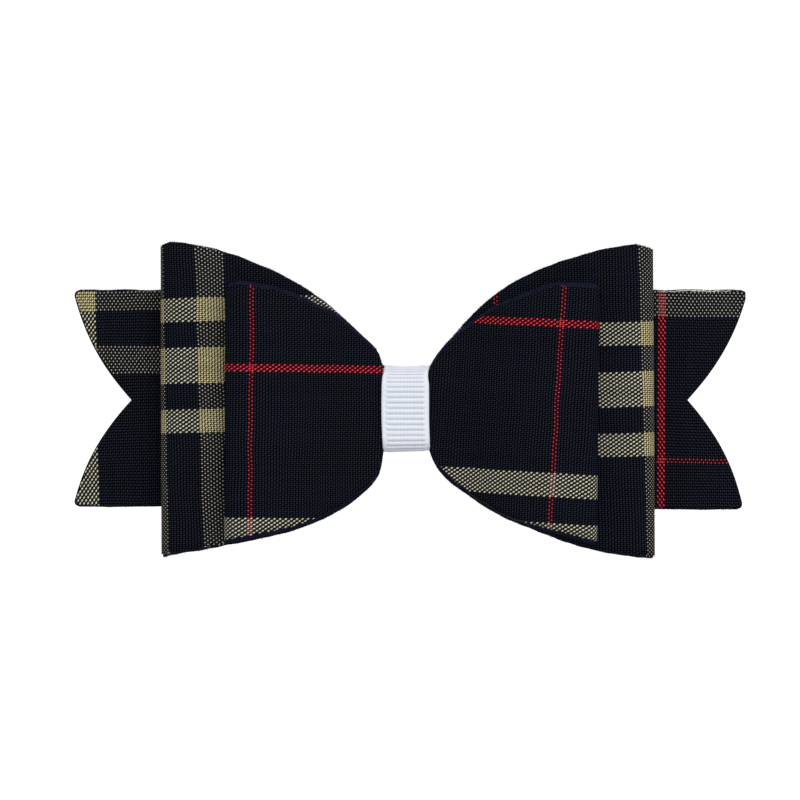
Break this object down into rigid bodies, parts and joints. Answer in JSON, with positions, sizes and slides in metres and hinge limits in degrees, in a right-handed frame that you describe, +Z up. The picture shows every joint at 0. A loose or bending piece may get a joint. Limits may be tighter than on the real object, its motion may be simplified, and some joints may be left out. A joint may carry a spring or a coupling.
{
  "type": "hair bow",
  "caption": "Layered plaid fabric hair bow with folded loops, notched tails and a white ribbon wrap, on a sprung alligator clip that opens at the back.",
  "frame": {"origin": "centre of the clip's jaw gap, behind the middle of the wrap", "axes": "+X to the right across the bow, +Y out of its back towards the head, +Z up; the decorated face looks along -Y"},
  "size_m": [0.1334, 0.0247, 0.0628],
  "materials": {
    "plaid_cloth": "plain-woven cotton check, navy with tan bars and thin red lines",
    "navy_felt": "short-napped felt",
    "white_grosgrain": "ribbed matt ribbon",
    "navy_thread": "twisted polyester",
    "nickel_steel": "bright nickel plate",
    "spring_steel": "drawn wire",
    "hot_melt_glue": "translucent, waxy"
  },
  "bodies": {
    "bow": {"left_large_loop_cloth": "plaid_cloth", "left_small_loop_cloth": "plaid_cloth", "left_tail_cloth": "plaid_cloth", "right_large_loop_cloth": "plaid_cloth", "right_small_loop_cloth": "plaid_cloth", "right_tail_cloth": "plaid_cloth", "left_large_loop_backing": "navy_felt", "left_small_loop_backing": "navy_felt", "left_tail_backing": "navy_felt", "right_large_loop_backing": "navy_felt", "right_small_loop_backing": "navy_felt", "right_tail_backing": "navy_felt", "binding_thread": "navy_thread", "centre_wrap": "white_grosgrain", "glue_pads": "hot_melt_glue", "clip_base": "nickel_steel", "clip_pin": "nickel_steel", "clip_spring": "spring_steel", "clip_lining": "white_grosgrain"},
    "lever": {"clip_lever": "nickel_steel"}
  },
  "joints": [
    {"name": "clip_lever_hinge", "type": "hinge", "parent": "bow", "child": "lever", "pos_m": [0.013, 0.0026, 0], "axis": [0, 0, -1], "range_deg": [0, 32], "stiffness_Nm_per_rad": 0.05, "springref_deg": -40.11, "deforming": ["clip_spring"]}
  ]
}
